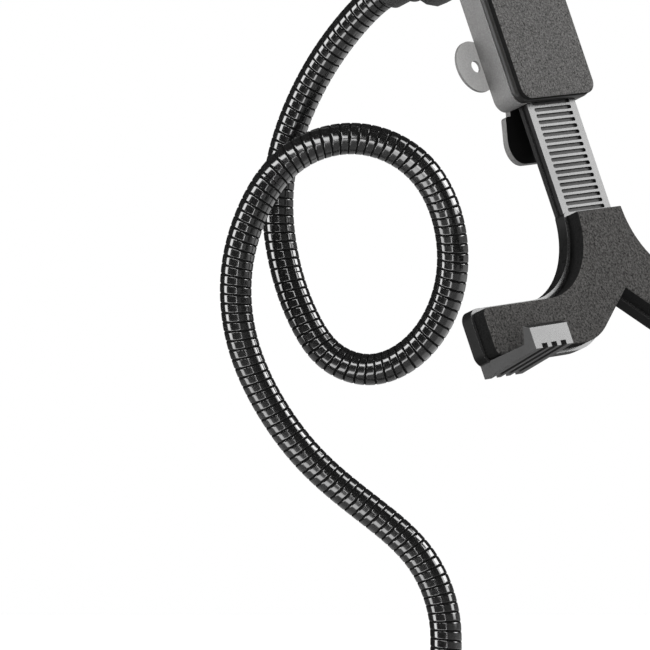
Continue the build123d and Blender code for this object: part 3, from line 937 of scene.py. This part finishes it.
knots = list(neck_line.splines[0].bezier_points)
neck_route = [knots[0].co.copy()]
for low, high in zip(knots, knots[1:]):
    handles = (low.co, low.handle_right, high.handle_left, high.co)
    neck_route += interpolate_bezier(*handles, steps_between_points + 1)[1:]
neck_length = sum((high - low).length for low, high in zip(neck_route, neck_route[1:])) / MM
print("the neck is", round(neck_length, 1), "mm long")

# %% [markdown]
# The solid neck is cut into seven stretches only so that it can bend, and the real tube has no cuts. A piece
# of turns is made for each stretch and takes its place, the last piece that of the last two stretches.

# %% The neck
neck_radius = 5.75
turn_pitch = 3.3
rings_in_turn = 22
bend_places = (42, 110, 180, 262, 345, 505)


def route_point(distance):
    """The point of the neck's line at a distance along it, given in millimetres."""
    left = distance * MM
    for low, high in zip(neck_route, neck_route[1:]):
        step = (high - low).length
        if left <= step:
            return low.lerp(high, left / step)
        left -= step
    return neck_route[-1]


cuts = [0.0, *((low + high) / 2 for low, high in zip(bend_places, bend_places[1:])), neck_length]
for number, bend in enumerate(bend_places):
    start, end = cuts[number], cuts[number + 1]
    piece = wound_piece(
        f"neck_turns_{number + 1}", neck_line,
        {
            "Start": start * MM, "End": end * MM, "Radius": neck_radius * MM, "Notch Depth": 0.3 * MM,
            "Turn Pitch": turn_pitch * MM, "Flank": 0.4, "Step": turn_pitch / rings_in_turn * MM, "Sides": 30,
        },
        neck_black, neck_notch_shade,
    )
    held = [f"neck_{number + 1}"] + (["neck_7"] if number == len(bend_places) - 1 else [])
    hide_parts(*held)
    along = (route_point(bend + 1) - route_point(bend - 1)).normalized()
    whole = (route_point(end) - route_point(start)).normalized()
    middle = route_point(bend)
    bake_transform(piece)
    print(piece.name, len(piece.data.polygons), "faces over", round(end - start), "mm")

# %% [markdown]
# The clamp's screw has a coarse thread with broad flanks. In the solids it is a plain cylinder, so the rod
# tree winds a thread into the same space. It stops short of the screw's upper end.

# %% The clamp screw's thread
thread_stop = 3 * MM
screw_low, screw_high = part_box("clamp_screw")
thread_ends = [Vector((0, 0, screw_low[2])), Vector((0, 0, screw_high[2] - thread_stop))]
screw = wound_piece(
    "screw_thread", line_curve("screw_line", thread_ends, [Vector((0, 0, 1))] * 2),
    {
        "Start": 0.0, "End": (thread_ends[1] - thread_ends[0]).length, "Radius": 6.0 * MM,
        "Notch Depth": 0.9 * MM, "Turn Pitch": 3.0 * MM, "Flank": 0.95, "Step": 0.3 * MM, "Sides": 32,
    },
    steel, steel,
)
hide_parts("clamp_screw")
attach(screw, "screw")
print(screw.name, len(screw.data.polygons), "faces")

# %% [markdown]
# The pads are foam with a speckled skin on the front and cut sides painted near black, partly for the cut
# foam and partly as painted shade. Foam has no folds or seams, so no cloth simulation is needed: the front
# edge is rounded, and each face takes the skin or the dark side finish by the way it looks.

# %% The foam pads
pad_round = 0.8
skin_lean = 0.45
foam_sharp_angle = math.radians(50)
pads = {"body_pad": pad_foam, "lower_jaw_pad": claw_foam, "upper_jaw_pad": claw_foam}
for node, skin in pads.items():
    pad = joined_copy(node)
    # Faces that don't look to the front take the near-black side colour: cut foam with painted shade.
    set_materials(pad, foam_cut_side_shade, skin)
    round_edges(pad, front_edge, pad_round, segments=4)
    pad.data.shade_smooth()
    pad.data.set_sharp_from_angle(angle=foam_sharp_angle)
    paint_front(pad, skin_lean)
    stand_for(pad, node)
    print(pad.name, len(pad.data.polygons), "faces")
